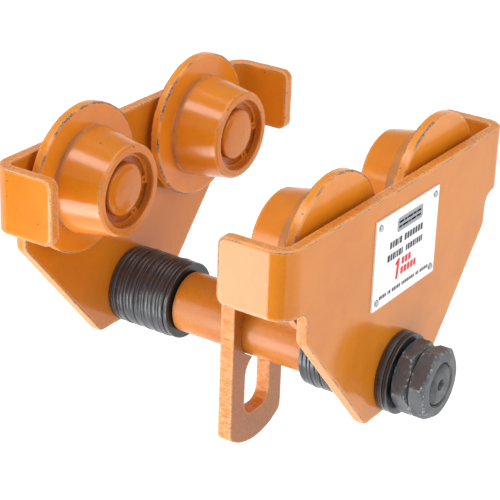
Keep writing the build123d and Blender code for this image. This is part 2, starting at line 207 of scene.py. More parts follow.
def enamel(name, rough, peel, chips, tint=PLATE_ENAMEL, cast=0.0, thin=0.0, dust=0.0, specks=0.05, gloss=1.5):
    """Sprayed orange enamel over steel: orange peel, thin spots, specks, chipped edges."""
    g = Graph(name)
    base, deep = tint
    broad = g.range(g.noise(38, 3, 0.55, warp=0.4), 0.3, 0.72)
    fine = g.noise(1.1, 4, 0.6)
    colour = g.mix(broad, base, deep)
    colour = g.mix(g.range(fine, 0.35, 0.75, 0.0, 0.30), colour, ENAMEL_THIN)
    cloud = g.range(g.noise(7.0, 5, 0.6, warp=0.8), 0.45, 0.75, 0.0, 0.22)
    colour = g.mix(cloud, colour, deep)
    if thin:
        patches = g.range(g.noise(2.6, 6, 0.7, warp=1.2), 0.52, 0.70)
        colour = g.mix(g.math("MULTIPLY", patches, thin, clamp=True), colour, WORN_BROWN)

    # Chips lie on edges, in ragged stretches, with a brown halo where the paint is thin.
    edge = g.edge(1.3)
    ragged = g.noise(1.7, 6, 0.75, warp=0.7)
    gate = g.range(g.noise(17.0, 3, 0.5), 0.40, 0.56)
    reach = g.math("SUBTRACT", edge, ragged)
    easier = 0.12 * chips
    chip = g.math("MULTIPLY", g.range(reach, 0.42 - easier, 0.50 - easier), gate)
    chip = g.math("MULTIPLY", chip, 1.0 if chips > 0 else 0.0, clamp=True)
    halo = g.math("MULTIPLY", g.range(reach, 0.22, 0.40), gate, clamp=True)

    # Dark specks sit in the middle of a few cells, picked by the cells' own colours.
    pits = g.cells(7.5)
    pick = g.node("ShaderNodeSeparateColor")
    g.put(pick.inputs[0], pits.outputs["Color"])
    picked = g.range(pick.outputs[0], 0.93 - specks, 0.95 - specks)
    speck = g.math("MULTIPLY", g.range(pits.outputs["Distance"], 0.10, 0.06), picked)
    speck = g.math("MULTIPLY", speck, 0.85, clamp=True)

    # Edges and worn corners are mixed towards pale orange: a painted highlight along them.
    colour = g.mix(g.range(edge, 0.1, 1.0, 0.0, 0.40), colour, EDGE_HIGHLIGHT_PAINT)
    colour = g.mix(g.math("MULTIPLY", halo, 0.45), colour, HALO_BROWN)
    colour = g.mix(speck, colour, SPECK_BROWN)
    shade = g.noise(1.3, 3, 0.6)
    grey = g.mix(g.range(shade, 0.38, 0.50), CHIP_DARK, CHIP)
    grey = g.mix(g.range(shade, 0.54, 0.62), grey, BARE)
    g.set("Base Color", g.mix(chip, colour, grey))
    glaze = g.range(g.noise(3.2, 4, 0.6), 0.3, 0.75, rough * 0.85, rough * 1.25)
    g.set("Roughness", g.blend(chip, glaze, 0.55))
    g.set("IOR", gloss)

    normal = g.bump(g.noise(26, 2, 0.4), 0.10)
    normal = g.bump(g.noise(3.4, 3, 0.5, warp=0.3), peel, normal)
    if cast:
        normal = g.bump(g.noise(1.6, 5, 0.65), cast, normal)
    if dust:
        normal = g.bump(g.noise(0.55, 2, 0.5), dust, normal)
    normal = g.bump(chip, -0.12, normal)
    g.set("Normal", g.bump(speck, -0.05, normal))
    return g.mat


def flame_cut(name, coarse):
    """Enamel over a flame-cut edge: drag lines across the thickness (X) and slag pits.

    coarse, up to 1, sets how deep and how dark they are.
    """
    g = Graph(name)
    lines = g.noise(1.5, 4, 0.65, vector=g.stretch((0.2, 1.0, 1.0)), warp=0.5)
    pits = g.noise(2.4, 5, 0.7, warp=0.6)
    drag = g.mix(coarse, ENAMEL, ENAMEL_DEEP)
    crest = g.mix(coarse, ENAMEL, CUT_CREST)
    colour = g.mix(g.range(lines, 0.40, 0.60), drag, crest)
    colour = g.mix(g.range(pits, 0.48, 0.68, 0.0, 0.8), colour, ENAMEL)
    edge = g.edge(1.2)
    ragged = g.range(g.noise(1.5, 6, 0.75), 0.54, 0.60)
    gate = g.range(g.noise(15.0, 3, 0.5), 0.42, 0.58)
    chip = g.math("MULTIPLY", g.math("MULTIPLY", edge, ragged), gate, clamp=True)
    # Rounded edges of the cut wall are mixed towards pale orange: a painted highlight.
    colour = g.mix(g.range(edge, 0.2, 1.0, 0.0, 0.45), colour, CUT_EDGE_HIGHLIGHT_PAINT)
    g.set("Base Color", g.mix(chip, colour, CHIP))
    g.set("Roughness", g.range(pits, 0.3, 0.7, 0.2, 0.38))
    normal = g.bump(lines, 0.42 * coarse)
    g.set("Normal", g.bump(pits, 0.38 * coarse, normal))
    return g.mat


def oxide(name, base, worn, rough, wear, scuffs, metal, ior=1.5, rings=False):
    """Dark phosphated or oxidised steel, rubbed bright on its edges; rings are turned marks about X."""
    g = Graph(name)
    around = g.stretch((1.0, 0.02, 0.02)) if rings else None
    broad = g.noise(11, 4, 0.6, warp=0.6)
    fine = g.noise(0.5, 3, 0.6)
    colour = g.mix(g.range(broad, 0.35, 0.7), base, scaled(base, 0.62))
    colour = g.mix(g.range(fine, 0.5, 0.8, 0.0, 0.1 if rings else 0.35), colour, scaled(base, 1.9))
    if rings:
        each = g.noise(2.1, 1, 0.5, vector=around)
        colour = g.mix(g.range(each, 0.40, 0.60, 0.0, 0.8), colour, scaled(base, 0.45))
        broad = g.blend(0.5, broad, each)
    edge = g.edge(0.9)
    patchy = (0.25, 0.55, 0.45 * wear) if rings else (0.50, 0.66, 0.0)
    rub = g.range(g.noise(2.3, 5, 0.7, warp=0.8), *patchy, wear)
    rub = g.math("MULTIPLY", edge, rub, clamp=True)
    scratch = g.noise(0.8, 4, 0.6, vector=g.stretch((0.10, 1.0, 0.4)), warp=2.0)
    scuff = g.math("MULTIPLY", g.range(scratch, 0.66, 0.74), scuffs)
    patch = g.math("MULTIPLY", g.range(g.noise(5.5, 5, 0.7, warp=1.0), 0.60, 0.72), scuffs)
    bare = g.math("MAXIMUM", rub, g.math("MAXIMUM", scuff, patch), clamp=True)
    g.set("Base Color", g.mix(bare, colour, worn))
    g.set("Metallic", metal)
    g.set("IOR", ior)
    dull = g.range(broad, 0.3, 0.7, rough, rough * 1.3)
    g.set("Roughness", g.blend(bare, dull, rough * 0.8))
    normal = g.bump(g.noise(1.4, 4, 0.6), 0.03)
    if rings:
        normal = g.bump(g.noise(0.35, 2, 0.5, vector=around), 0.01, normal)
    g.set("Normal", normal)
    return g.mat


def plain_steel(name, base, rough):
    """Machined or ground steel with a faint lathe texture."""
    g = Graph(name)
    tone = g.noise(0.4, 3, 0.6)
    broad = g.noise(6, 3, 0.6)
    g.set("Base Color", g.mix(g.range(broad, 0.35, 0.7), base, scaled(base, 0.7)))
    g.set("Metallic", 1.0)
    g.set("Roughness", g.range(tone, 0.3, 0.7, rough * 0.8, rough * 1.3))
    g.set("Normal", g.bump(tone, 0.01))
    return g.mat


def label_sheet():
    """White enamelled nameplate, greyer on its cut edge."""
    g = Graph("label_white")
    broad = g.noise(9, 3, 0.6)
    fine = g.noise(0.8, 3, 0.6)
    colour = g.mix(g.range(broad, 0.4, 0.75, 0.0, 0.4), rgb(0.97, 0.97, 0.975), rgb(0.92, 0.92, 0.93))
    edge = g.math("MULTIPLY", g.edge(0.5), 0.6, clamp=True)
    g.set("Base Color", g.mix(edge, colour, rgb(0.45, 0.45, 0.46)))
    g.set("Roughness", g.range(fine, 0.3, 0.7, 0.3, 0.42))
    g.set("Normal", g.bump(broad, 0.05))
    return g.mat


def ink(name, colour):
    """Printing ink, lightly rubbed."""
    g = Graph(name)
    grain = g.noise(0.35, 3, 0.6)
    worn = scaled(colour, 0.85, 0.03)
    g.set("Base Color", g.mix(g.range(grain, 0.5, 0.8, 0.0, 0.6), colour, worn))
    g.set("Roughness", g.range(grain, 0.3, 0.7, 0.35, 0.455))
    return g.mat


MAT = {
    "plate": enamel("plate_enamel", rough=0.15, peel=0.022, chips=1.25),
    "plate_cut": flame_cut("plate_cut_edge", 0.45),
    "tread": enamel("tread_enamel", rough=0.18, peel=0.026, chips=0.9, cast=0.035, tint=TREAD_ENAMEL),
    "flange": enamel("flange_enamel", rough=0.17, peel=0.018, chips=0.35, tint=WHEEL_ENAMEL),
    "rim": enamel("rim_enamel", rough=0.24, peel=0.02, chips=0.45, cast=0.13, thin=0.45, specks=0.35,
                  tint=WHEEL_ENAMEL),
    "groove": enamel("groove_enamel", rough=0.42, peel=0.02, chips=0.0, cast=0.10, thin=1.0, specks=0.5),
    "band": enamel("band_enamel", rough=0.40, peel=0.02, chips=0.3, cast=0.08, thin=1.0, specks=0.6,
                   gloss=1.4, tint=BAND_ENAMEL),
    # Bore enamel is darkened as painted shade inside the wheel's bore.
    "bore": enamel("bore_shaded_enamel", rough=0.26, peel=0.015, chips=0.0, tint=BORE_SHADED_ENAMEL),
    "pin": enamel("pin_enamel", rough=0.15, peel=0.010, chips=0.0, tint=TREAD_ENAMEL),
    "shaft": enamel("shaft_enamel", rough=0.30, peel=0.012, chips=0.4, cast=0.045, dust=0.020,
                    tint=SHAFT_ENAMEL),
    # Load plate enamel, darkened as painted shade.
    "load": enamel("load_shaded_enamel", rough=0.20, peel=0.020, chips=1.0, tint=LOAD_SHADED_ENAMEL),
    "load_cut": flame_cut("load_cut_edge", 1.0),
    "ring": enamel("ring_enamel", rough=0.25, peel=0.01, chips=0.0),
    "washer": oxide("washer_oxide", rgb(0.022, 0.025, 0.030), rgb(0.160, 0.170, 0.188), rough=0.25,
                    wear=0.50, scuffs=0.05, metal=0.25, ior=1.7, rings=True),
    "nut": oxide("nut_phosphate", rgb(0.080, 0.086, 0.098), rgb(0.52, 0.52, 0.53), rough=0.36,
                 wear=1.0, scuffs=0.30, metal=0.1, ior=1.65),
    "steel_end": oxide("shaft_end_steel", rgb(0.135, 0.137, 0.143), rgb(0.40, 0.40, 0.40), rough=0.40,
                       wear=0.7, scuffs=0.15, metal=0.85),
    "steel": plain_steel("turned_steel", rgb(0.30, 0.30, 0.31), 0.35),
    "bearing": plain_steel("bearing_steel", rgb(0.55, 0.55, 0.57), 0.2),
    "rivet": plain_steel("rivet_aluminium", rgb(0.55, 0.56, 0.55), 0.32),
    "label": label_sheet(),
}


# ------------------------------------------------------------------ mesh helpers
def new_object(name, mesh, body, replaces=(), materials=()):
    piece = bpy.data.objects.new(name, mesh)
    bpy.context.scene.collection.objects.link(piece)
    for key in materials:
        piece.data.materials.append(MAT[key] if isinstance(key, str) else key)
    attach(piece, body)
    if replaces:
        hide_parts(*replaces)
    return piece


def to_mesh(name, bm, angle):
    """Finish bm as a mesh that is smooth up to the given angle between faces."""
    bmesh.ops.recalc_face_normals(bm, faces=bm.faces)
    mesh = bpy.data.meshes.new(name)
    bm.to_mesh(mesh)
    bm.free()
    mesh.polygons.foreach_set("use_smooth", [True] * len(mesh.polygons))
    mesh.update()
    mesh.set_sharp_from_angle(angle=math.radians(angle))
    return mesh


def wear_layer(bm):
    return bm.verts.layers.float.get("wear") or bm.verts.layers.float.new("wear")


def corner_arc(last, here, after, radius):
    """The arc that rounds a corner: centre, start from the centre, turn, and reach along both sides."""
    to_last = (last - here).normalized()
    to_next = (after - here).normalized()
    half = math.acos(max(-1.0, min(1.0, to_last.dot(to_next)))) / 2
    reach = radius / math.tan(half)
    centre = here + (to_last + to_next).normalized() * radius / math.sin(half)
    start = here + to_last * reach - centre
    end = here + to_next * reach - centre
    turn = math.atan2(start.x * end.y - start.y * end.x, start.dot(end))
    return centre, start, turn, reach


def arc_points(centre, start, turn, steps):
    """Points of an arc that begins at centre + start."""
    points = []
    for step in range(steps + 1):
        angle = turn * step / steps
        spun = Vector((start.x * math.cos(angle) - start.y * math.sin(angle),
                       start.x * math.sin(angle) + start.y * math.cos(angle)))
        points.append(centre + spun)
    return points


def rounded_profile(corners, steps=5, beside=1.6, rub=1.0):
    """Corners (x, r, rounding, zone) to points (x, r, zone, wear), with wear on the rounded corners.

    On a long run, a point up to beside from the rounding ends its wear.
    """
    points = []
    for index, (x, r, radius, zone) in enumerate(corners):
        here = Vector((x, r))
        if radius <= 0:
            points.append((x, r, zone, 0.0))
            continue
        last, after = corners[index - 1], corners[(index + 1) % len(corners)]
        to_last, to_next = Vector(last[:2]) - here, Vector(after[:2]) - here
        centre, start, turn, reach = corner_arc(Vector(last[:2]), here, Vector(after[:2]), radius)
        long_run = 2.5 * (reach + 0.6)
        if to_last.length > long_run:
            flat = here + to_last.normalized() * min(reach + beside, 0.4 * to_last.length)
            points.append((flat.x, flat.y, last[3], 0.0))
        points += [(p.x, p.y, zone, rub) for p in arc_points(centre, start, turn, steps)]
        if to_next.length > long_run:
            flat = here + to_next.normalized() * min(reach + beside, 0.4 * to_next.length)
            points.append((flat.x, flat.y, zone, 0.0))
    return points


def turned(bm, points, segments, closed=True, wobble=None, place=None):
    """Turn (x, r, zone, wear) points in mm about the X axis into bm; a point on the axis is one vertex."""
    wear = wear_layer(bm)
    place = place or Matrix.Identity(4)
    rows = []
    for x, r, _, worn in points:
        if r < 1e-6:
            rows.append([bm.verts.new(place @ Vector((x * MM, 0, 0)))])
            continue
        row = []
        for k in range(segments):
            angle = 2 * math.pi * k / segments
            dx, dr = wobble(x, r, angle) if wobble else (0.0, 0.0)
            around = ((r + dr) * math.cos(angle), (r + dr) * math.sin(angle))
            vert = bm.verts.new(place @ Vector(((x + dx) * MM, around[0] * MM, around[1] * MM)))
            vert[wear] = worn
            row.append(vert)
        rows.append(row)
    pairs = list(zip(range(len(rows)), range(1, len(rows))))
    if closed:
        pairs.append((len(rows) - 1, 0))
    for a, b in pairs:
        low, high = rows[a], rows[b]
        for k in range(segments):
            n = (k + 1) % segments
            if len(low) == 1:
                corner = (low[0], high[k], high[n])
            elif len(high) == 1:
                corner = (low[k], high[0], low[n])
            else:
                corner = (low[k], high[k], high[n], low[n])
            bm.faces.new(corner).material_index = points[a][2]


def at_wheel(mesh, side, end):
    """From the wheel's own axis, drawn inwards from the plate, to its place."""
    turn = Matrix.Rotation(math.pi, 4, "Z") if side > 0 else Matrix.Identity(4)
    place = Matrix.Translation((side * PLATE_INNER, end * WHEEL_Y, WHEEL_Z))
    mesh.transform(place @ turn)


# ------------------------------------------------------------------ wheels
FACE, RIM, GROOVE, TREAD, BORE, BAND = range(6)
WHEEL_MATERIALS = ["flange", "rim", "groove", "tread", "bore", "band"]

# Stations along a wheel's axle, measured inwards from the plate's inner face, and radii there
RIM_BACK, RIM_FRONT = 5.0, 11.5
GROOVE_CORNER, GROOVE_END = 13.4, 14.3
BEARING_BACK, BEARING_FRONT = 23.3, 37.3
SNAP_END = 39.15
TREAD_END, MOUTH, NOSE = 42.6, 43.4, 43.9
RIM_RADIUS = 47.7
GROOVE_RADIUS = 32.4
TREAD_BASE_RADIUS, TREAD_END_RADIUS = 33.9, 28.9
NOSE_RADIUS, MOUTH_RADIUS = 27.4, 24.0
SNAP_RADIUS, BEARING_RADIUS = 24.9, 23.5
HUB_BORE_RADIUS = 17.5
TREAD_TAPER = (TREAD_BASE_RADIUS - TREAD_END_RADIUS) / (TREAD_END - GROOVE_END)

# The darker brown band at a tread's foot is wide on the right wheels and narrow on the left.
BAND_WIDTH = {"left": 1.6, "right": 9.5}


def wheel_rub_and_highlight(x):
    """How far the paint is rubbed off a wheel's corners, which also sets how strongly they get the painted
    edge highlight: least at the nose, most on the rim.
    """
    if x > 43.2:
        return 0.55
    return 0.82 if x > 14 else 0.93


def wheel_mesh(name, seed, band):
    """Cast wheel: rough rim, smooth flange face, machined groove and tread, stepped bore."""
    corners = [
        (RIM_BACK, HUB_BORE_RADIUS, 0, BORE),
        (RIM_BACK, RIM_RADIUS, 1.0, RIM),
        (RIM_FRONT, RIM_RADIUS, 1.0, FACE),
        (RIM_FRONT, GROOVE_RADIUS, 1.0, GROOVE),
        (GROOVE_CORNER, GROOVE_RADIUS, 0.5, GROOVE),
        (GROOVE_END, TREAD_BASE_RADIUS, 0.45, BAND),
        (GROOVE_END + band, TREAD_BASE_RADIUS - band * TREAD_TAPER, 0, TREAD),
        (TREAD_END, TREAD_END_RADIUS, 0.7, TREAD),
        (NOSE, NOSE_RADIUS, 0.4, TREAD),
        (NOSE, MOUTH_RADIUS, 0.3, BORE),
        (MOUTH, BEARING_RADIUS, 0.2, BORE),
        (SNAP_END, BEARING_RADIUS, 0.1, BORE),
        (SNAP_END, SNAP_RADIUS, 0, BORE),
        (BEARING_FRONT, SNAP_RADIUS, 0, BORE),
        (BEARING_FRONT, BEARING_RADIUS, 0, BORE),
        (BEARING_BACK, BEARING_RADIUS, 0, BORE),
        (BEARING_BACK, HUB_BORE_RADIUS, 0, BORE),
    ]
    points = rounded_profile(corners)
    for index in (0, 1):  # the flange's back is smooth like its face
        points[index] = points[index][:2] + (FACE, 0.0)
    points = [(x, r, zone, worn * wheel_rub_and_highlight(x)) for x, r, zone, worn in points]

    def cast_rim(x, r, angle):
        """The cast rim is uneven by a tenth of a millimetre or two; what is machined isn't."""
        if r <= 44:
            return 0.0, 0.0
        across = Vector((math.cos(angle) * r, math.sin(angle) * r)) * 0.22
        where = Vector((x * 0.35, across.x + seed, across.y))
        return 0.10 * noise.noise(where * 0.8), 0.16 * noise.noise(where)

    bm = bmesh.new()
    turned(bm, points, 180, wobble=cast_rim)
    return to_mesh(name, bm, 50)


PIN_RADIUS, PIN_BACK = 9.95, -6.4
PIN_LAND_RADIUS, HEAD_BACK = 13.4, 38.1
HEAD_RADIUS, HEAD_EDGE = 16.7, 40.7


def pin_mesh(name):
    """Headed pin: low domed head over the bearing, shank that stops inside the plate."""
    corners = [
        (PIN_BACK, 0, 0, 0),
        (PIN_BACK, PIN_RADIUS, 0.4, 0),
        (BEARING_FRONT, PIN_RADIUS, 0, 0),
        (BEARING_FRONT, PIN_LAND_RADIUS, 0, 0),
        (HEAD_BACK, PIN_LAND_RADIUS, 0, 0),
        (HEAD_BACK, HEAD_RADIUS, 0.4, 0),
        (HEAD_EDGE, HEAD_RADIUS, 1.7, 0),
        (42.1, 13.0, 9.0, 0),
        (42.7, 5.0, 3.0, 0),
        (42.75, 0, 0, 0),
    ]
    bm = bmesh.new()
    turned(bm, rounded_profile(corners, 7, rub=0.0), 96, closed=False)
    return to_mesh(name, bm, 40)


for side_name, side in SIDES.items():
    for end_name, end in ENDS.items():
        spot = f"{side_name}_{end_name}"
        mesh = wheel_mesh(f"{spot}_wheel_body", 7.0 * side + 3.0 * end, BAND_WIDTH[side_name])
        at_wheel(mesh, side, end)
        new_object(f"{spot}_wheel_body", mesh, f"{spot}_wheel", [f"{spot}_wheel"],
                   WHEEL_MATERIALS)
        mesh = pin_mesh(f"{spot}_pin_body")
        at_wheel(mesh, side, end)
        new_object(f"{spot}_pin_body", mesh, "carriage", [f"{spot}_axle_pin"], ["pin"])


# ------------------------------------------------------------------ cut plates with rounded, wavy edges
def round_corners(corners, spacing=1.3):
    """Closed outline (u, v, radius) to evenly spaced points with rounded corners."""
    raw = []
    for index, (u, v, radius) in enumerate(corners):
        here = Vector((u, v))
        if radius <= 0:
            raw.append(here)
            continue
        last, after = corners[index - 1], corners[(index + 1) % len(corners)]
        centre, start, turn, _ = corner_arc(Vector(last[:2]), here, Vector(after[:2]), radius)
        raw += arc_points(centre, start, turn, max(3, int(abs(turn) * radius / spacing) + 1))
    return even(raw, spacing)


def even(raw, spacing):
    """Divide the long runs of a closed outline."""
    points = []
    for index, here in enumerate(raw):
        there = raw[(index + 1) % len(raw)]
        run = (there - here).length
        if run < 1e-4:
            continue
        steps = max(1, round(run / spacing))
        points += [here.lerp(there, step / steps) for step in range(steps)]
    return points


def normals_of(points):
    """Outward normals of an anticlockwise outline."""
    found = []
    for index in range(len(points)):
        along = (points[(index + 1) % len(points)] - points[index - 1]).normalized()
        found.append(Vector((along.y, -along.x)))
    return found


def wall_profile(thickness, edge, margin, steps=3, inner=3):
    """(inset, depth, wear) from one face to the other, with both edges rounded."""
    rounded = []
    for step in range(steps + 1):
        angle = math.pi / 2 * step / steps
        rounded.append((edge * (1 - math.sin(angle)), edge * (1 - math.cos(angle)), 1.0))
    wall = [(0.0, edge + (thickness - 2 * edge) * step / (inner + 1), 0.0) for step in range(1, inner + 1)]
    far = [(inset, thickness - depth, worn) for inset, depth, worn in reversed(rounded)]
    return [(edge + margin, 0.0, 0.0)] + rounded + wall + far + [(edge + margin, thickness, 0.0)]


def cut_wave(point, depth, seed):
    """Height of a flame-cut wall at a point of its outline: slow waves along it, drawn out over its depth."""
    slow = Vector((point.x * 0.33, point.y * 0.33, depth * 0.22 + seed))
    fine = Vector((point.x * 1.1, point.y * 1.1, depth * 0.16 - seed))
    return noise.noise(slow) + 0.5 * noise.noise(fine)


def cut_plate(name, loops, thickness, edge, rough, seed, bend, cuts=(), margin=2.0):
    """Solid plate from an outer loop and holes, in (u, v) by depth t; bend maps (u, t, v) to space."""
    bm = bmesh.new()
    wear = wear_layer(bm)
    profile = wall_profile(thickness, edge, margin)
    rims = ([], [])
    for number, points in enumerate(loops):
        normals = normals_of(points)
        if number:  # in a hole, the material is on the other side
            normals = [-normal for normal in normals]
        rings = []
        for inset, depth, worn in profile:
            ring = []
            for point, normal in zip(points, normals):
                place = point - normal * (inset - rough * cut_wave(point, depth, seed))
                vert = bm.verts.new((place.x, depth, place.y))
                vert[wear] = worn
                ring.append(vert)
            rings.append(ring)
        for row, (low, high) in enumerate(zip(rings, rings[1:])):
            for k in range(len(low)):
                n = (k + 1) % len(low)
                face = bm.faces.new((low[k], low[n], high[n], high[k]))
                face.material_index = 0 if row in (0, len(rings) - 2) else 1
        rims[0].append(rings[0])
        rims[1].append(rings[-1])
    for ring_set in rims:
        edges = []
        for ring in ring_set:
            edges += [bm.edges.get((ring[k], ring[(k + 1) % len(ring)])) for k in range(len(ring))]
        bmesh.ops.triangle_fill(bm, use_beauty=True, use_dissolve=False, edges=edges)
    for cut in cuts:
        bmesh.ops.bisect_plane(bm, geom=bm.verts[:] + bm.edges[:] + bm.faces[:], dist=1e-5,
                               plane_co=(cut, 0, 0), plane_no=(1, 0, 0))
    for vert in bm.verts:
        u, t, v = vert.co
        vert.co = Vector(bend(u, t, v)) * MM
    return to_mesh(name, bm, 40)


def circle_loop(centre_u, centre_v, radius, count=72):
    angles = [2 * math.pi * k / count for k in range(count)]
    return [Vector((centre_u + radius * math.cos(a), centre_v + radius * math.sin(a))) for a in angles]


# Side plates, with heights above the shaft and half-lengths from the middle
BEND_RADIUS = 13.0
BEND_START = plate_high.y / MM - BEND_RADIUS
BEND_LENGTH = BEND_RADIUS * math.pi / 2
BEND_STEPS = 14
TAB_STRAIGHT = 32.9
TAB_BOTTOM, TAB_ROUND = 80.3, 6.0
WAIST, WAIST_HALF = 60.5, 105.6
NOTCH_ROUND, FOOT_ROUND = 8.4, 8.0
FOOT_HALF = 33.2
SHAFT_HOLE_RADIUS = 13.9


def bent(side):
    """Map (u along the plate, t from its outer face, v up) onto the folded channel."""
    outer = PLATE_OUTER / MM

    def place(u, t, v):
        sign = 1 if u >= 0 else -1
        s = abs(u)
        if s <= BEND_START:
            x, y = outer - t, s
        elif s <= BEND_START + BEND_LENGTH:
            angle = (s - BEND_START) / BEND_RADIUS
            x = outer - BEND_RADIUS + (BEND_RADIUS - t) * math.cos(angle)
            y = BEND_START + (BEND_RADIUS - t) * math.sin(angle)
        else:
            x = outer - BEND_RADIUS - (s - BEND_START - BEND_LENGTH)
            y = BEND_START + BEND_RADIUS - t
        return side * x, sign * y, v
    return place


def side_plate_mesh(name, side):
    tab_end = BEND_START + BEND_LENGTH + TAB_STRAIGHT
    tab_bottom = SHAFT_MM + TAB_BOTTOM
    half = [
        (tab_end, plate_high.z / MM, TAB_ROUND),
        (tab_end, tab_bottom, TAB_ROUND),
        (WAIST_HALF, tab_bottom, NOTCH_ROUND),
        (WAIST_HALF, SHAFT_MM + WAIST, FOOT_ROUND),
        (FOOT_HALF, plate_low.z / MM, FOOT_ROUND),
    ]
    outline = round_corners(half[::-1] + [(-u, v, r) for u, v, r in half])
    hole = circle_loop(0, SHAFT_MM, SHAFT_HOLE_RADIUS)
    steps = [BEND_START + BEND_LENGTH * k / BEND_STEPS for k in range(BEND_STEPS + 1)]
    cuts = [sign * step for sign in (-1, 1) for step in steps]
    return cut_plate(name, [outline, hole], PLATE_THICKNESS, edge=0.9, rough=0.13, seed=5.0 + 11.0 * side,
                     bend=bent(side), cuts=cuts)


for side_name, side in SIDES.items():
    mesh = side_plate_mesh(f"{side_name}_plate_body", side)
    new_object(f"{side_name}_plate_body", mesh, "carriage", [f"{side_name}_side_plate"],
               ["plate", "plate_cut"])


# Load plate, measured from the shaft's axis
LOAD_THICKNESS, LOAD_HALF = 10.0, 29.0
LOAD_TOP, LOAD_TOP_ROUND = 40.0, 18.0
LOAD_FOOT, LOAD_FOOT_CORNER, LOAD_CORNER_ROUND = -82.0, -72.5, 7.0
LOAD_BORE_RADIUS = 20.8
SLOT_HALF, SLOT_TOP, SLOT_BOTTOM = 14.0, -19.0, -61.0
SLOT_TOP_ROUND, SLOT_BOTTOM_ROUND = 13.5, 9.0


def keyhole():
    """The load plate's bore running into its slot, as one loop about the shaft axis."""
    # The slot's shoulder is an arc about shoulder_centre; it meets the bore at meet.
    shoulder_centre = Vector((SLOT_HALF - SLOT_TOP_ROUND, SLOT_TOP - SLOT_TOP_ROUND))
    apart = shoulder_centre.length
    along = (LOAD_BORE_RADIUS ** 2 - SLOT_TOP_ROUND ** 2 + apart ** 2) / (2 * apart)
    aside = math.sqrt(LOAD_BORE_RADIUS ** 2 - along ** 2)
    axis = shoulder_centre / apart
    meet = axis * along + Vector((-axis.y, axis.x)) * aside
    start = math.atan2(meet.y, meet.x)
    sweep = 2 * math.pi - 2 * (start + math.pi / 2)
    bore = arc_points(Vector((0, 0)), meet, sweep, 90)
    first = math.atan2(meet.y - shoulder_centre.y, meet.x - shoulder_centre.x)
    shoulder = arc_points(shoulder_centre, meet - shoulder_centre, -first, 12)[1:]
    low = Vector((SLOT_HALF - SLOT_BOTTOM_ROUND, SLOT_BOTTOM + SLOT_BOTTOM_ROUND))
    foot = arc_points(low, Vector((SLOT_BOTTOM_ROUND, 0)), -math.pi / 2, 10)
    right = shoulder + foot
    left = [Vector((-p.x, p.y)) for p in right]
    loop = even(bore + left + right[::-1], 1.0)
    # Where the slot meets the bore, the sharp cusp is eased.
    for _ in range(4):
        relaxed = []
        for index, point in enumerate(loop):
            last, after = loop[index - 1], loop[(index + 1) % len(loop)]
            near = abs(point.y - meet.y) < 1.5 and abs(point.x) < meet.x + 2.0
            relaxed.append(point * 0.5 + (last + after) * 0.25 if near else point)
        loop = relaxed
    return loop


def load_plate_mesh(name):
    """Round-shouldered plate with a bowed foot, standing across the middle of the shaft."""
    rise = LOAD_FOOT_CORNER - LOAD_FOOT
    radius = (LOAD_HALF ** 2 + rise ** 2) / (2 * rise)
    bow = []
    for k in range(-8, 9):
        u = LOAD_HALF * k / 12
        bow.append((u, LOAD_FOOT + radius - math.sqrt(radius ** 2 - u ** 2), 0))
    corners = [(-LOAD_HALF, LOAD_FOOT_CORNER, LOAD_CORNER_ROUND)] + bow + [
        (LOAD_HALF, LOAD_FOOT_CORNER, LOAD_CORNER_ROUND),
        (LOAD_HALF, LOAD_TOP, LOAD_TOP_ROUND),
        (-LOAD_HALF, LOAD_TOP, LOAD_TOP_ROUND),
    ]

    def upright(u, t, v):
        return LOAD_THICKNESS / 2 - t, u, v + SHAFT_MM

    return cut_plate(name, [round_corners(corners), keyhole()], LOAD_THICKNESS, edge=0.6, rough=0.16,
                     seed=3.0, bend=upright, margin=0.8)


new_object("load_plate_body", load_plate_mesh("load_plate_body"), "load_plate", ["load_plate"],
           ["load", "load_cut"])


# ------------------------------------------------------------------ washers and nuts on the shaft
SHAFT_SHOULDER = 50.1
THICK, THIN = 3.2, 2.0
INNER_PATTERN = "TTtTTTtTTTTtTTtT"
OUTER_PATTERN = "TtT"
WASHER_RADIUS, WASHER_BORE_RADIUS = 25.6, 14.2
WASHER_GAP = 0.04
WASHER_FLOAT = 0.35
WASHER_TILT = 0.12  # degrees, from one extreme to the other


def washer_stack(name, side, start, pattern, seed):
    """Punched washers side by side: each its own rounded, slightly uneven and off-centre ring."""
    draw = random.Random(seed)
    bm = bmesh.new()
    x = start
    for index, letter in enumerate(pattern):
        thick = THICK if letter == "T" else THIN
        radius = WASHER_RADIUS - 0.35 * draw.random()
        # A punched edge is well rounded on one side and less on the other; some lie the other way round.
        fall, roll = (0.95, 0.45) if letter == "T" else (0.65, 0.3)
        if draw.random() < 0.4:
            fall, roll = roll, fall
        low, high = x + WASHER_GAP, x + thick - WASHER_GAP
        corners = [(low, WASHER_BORE_RADIUS, 0.2, 0), (high, WASHER_BORE_RADIUS, 0.2, 0),
                   (high, radius, roll, 0), (low, radius, fall, 0)]
        points = []
        for px, pr, zone, worn in rounded_profile(corners, 4, beside=0.4):
            points.append((px, pr, zone, worn * (0.3 + 0.7 * draw.random()) if pr > 20 else 0.0))
        shift = WASHER_FLOAT * (0.5 + 0.5 * draw.random())
        turn = 2.4 * index
        tilt = Matrix.Rotation(math.radians(WASHER_TILT * (draw.random() - 0.5)), 4, "Y")
        aside = (0, shift * math.cos(turn) * MM, SHAFT_Z + shift * math.sin(turn) * MM)
        turned(bm, points, 128, place=Matrix.Translation(aside) @ tilt)
        x += thick
    if side < 0:
        bmesh.ops.scale(bm, vec=(-1, 1, 1), verts=bm.verts)
    return to_mesh(name, bm, 40)


NUT_FLATS, NUT_FACE_RADIUS = 41.0, 19.6
NUT_MOUTH_RADIUS, NUT_BORE_RADIUS = 14.6, 13.55
NUT_HEIGHT = (SHAFT_HALF - PLATE_OUTER / MM - 2 * THICK - THIN) / 2
# How far each nut is turned about the shaft, in degrees
NUT_TURNS = {("left", "inner"): 20, ("left", "outer"): 51, ("right", "inner"): 6.5, ("right", "outer"): 47.5}
NUT_SIDE_STEPS = 16
NUT_EDGE = 0.35


